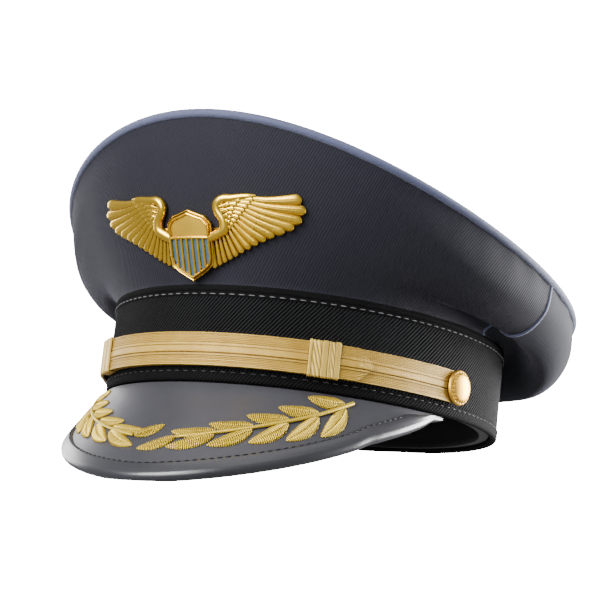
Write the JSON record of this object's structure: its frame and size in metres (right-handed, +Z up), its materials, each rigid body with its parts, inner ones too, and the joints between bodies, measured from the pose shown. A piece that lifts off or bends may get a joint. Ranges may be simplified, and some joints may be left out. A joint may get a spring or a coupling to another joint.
{
  "type": "military peaked cap",
  "caption": "Peaked service cap with a stiff band, a sloping leather visor with leaf sprays, a gold chin strap, a winged shield badge and a wide soft crown",
  "frame": {"origin": "on the floor under the middle of the cap's box, as it stands on its visor rim and the back of its band", "axes": "+X is the wearer's left, +Y runs from the visor to the back of the cap, +Z is up; the band is tipped back by 11.3 degrees about X"},
  "size_m": [0.2396, 0.286, 0.1559],
  "materials": {
    "crown_cloth": "navy wool twill",
    "piping_cord": "ribbed blue-grey piping",
    "band_braid": "black ribbed mohair braid",
    "band_binding": "black woven binding",
    "visor_leather": "smooth grey leather, soft sheen",
    "rim_leather": "polished leather binding",
    "sweat_leather": "dark sweatband leather",
    "stiff_board": "stiffening board",
    "lining_satin": "dark satin lining",
    "clear_film": "clear protective film",
    "gold_bullion": "gold wire embroidery",
    "gold_braid": "woven gold braid",
    "slide_braid": "gold braid loop over a stiff core",
    "badge_gilt": "gilt, softly polished",
    "badge_enamel": "blue-grey enamel",
    "button_gilt": "gilt, domed and stamped",
    "fixing_brass": "plain brass fixings",
    "spring_steel": "spring steel"
  },
  "bodies": {
    "cap": {"crown_top": "crown_cloth", "crown_front_quarter": "crown_cloth", "crown_rear_quarter_left": "crown_cloth", "crown_rear_quarter_right": "crown_cloth", "crown_piping": "piping_cord", "seam_piping_left": "piping_cord", "seam_piping_right": "piping_cord", "band_cover": "band_braid", "band_top_binding": "band_binding", "band_bottom_binding": "band_binding", "visor_top_cover": "visor_leather", "visor_lining": "visor_leather", "visor_binding": "rim_leather", "sweatband": "sweat_leather", "sweatband_bow": "sweat_leather", "band_frame": "stiff_board", "visor_core": "stiff_board", "front_stay": "stiff_board", "crown_lining": "lining_satin", "sweat_shield": "clear_film", "laurel_left": "gold_bullion", "laurel_right": "gold_bullion", "badge_wings": "badge_gilt", "badge_shield": "badge_gilt", "badge_enamel": "badge_enamel", "badge_post_left": "fixing_brass", "badge_post_right": "fixing_brass", "badge_nut_left": "fixing_brass", "badge_nut_right": "fixing_brass", "hoop_wire": "spring_steel", "button_washer_left": "spring_steel", "button_washer_right": "spring_steel"},
    "chin_strap": {"strap_upper": "gold_braid", "strap_lower": "gold_braid"},
    "slide_left": {"slide_left": "slide_braid"},
    "slide_right": {"slide_right": "slide_braid"},
    "button_left": {"button_left": "button_gilt", "button_clip_left": "spring_steel"},
    "button_right": {"button_right": "button_gilt", "button_clip_right": "spring_steel"}
  },
  "joints": [
    {"name": "chin_strap_swing", "type": "hinge", "parent": "cap", "child": "chin_strap", "pos_m": [0, -0.01826, 0.03702], "axis": [1, 0, 0], "range_deg": [-2, 1]},
    {"name": "slide_left_travel", "type": "hinge", "parent": "chin_strap", "child": "slide_left", "pos_m": [-0.00837, -0.01274, 0.03592], "axis": [0, 0.1955, 0.9807], "range_deg": [-8, 8]},
    {"name": "slide_right_travel", "type": "hinge", "parent": "chin_strap", "child": "slide_right", "pos_m": [0.00837, -0.01274, 0.03592], "axis": [0, 0.1955, 0.9807], "range_deg": [-8, 8]},
    {"name": "button_left_turn", "type": "hinge", "parent": "cap", "child": "button_left", "pos_m": [0.08516, -0.01826, 0.03702], "axis": [0.9851, -0.1688, 0.0337], "continuous": true},
    {"name": "button_right_turn", "type": "hinge", "parent": "cap", "child": "button_right", "pos_m": [-0.08516, -0.01826, 0.03702], "axis": [-0.9851, -0.1688, 0.0337], "continuous": true}
  ]
}
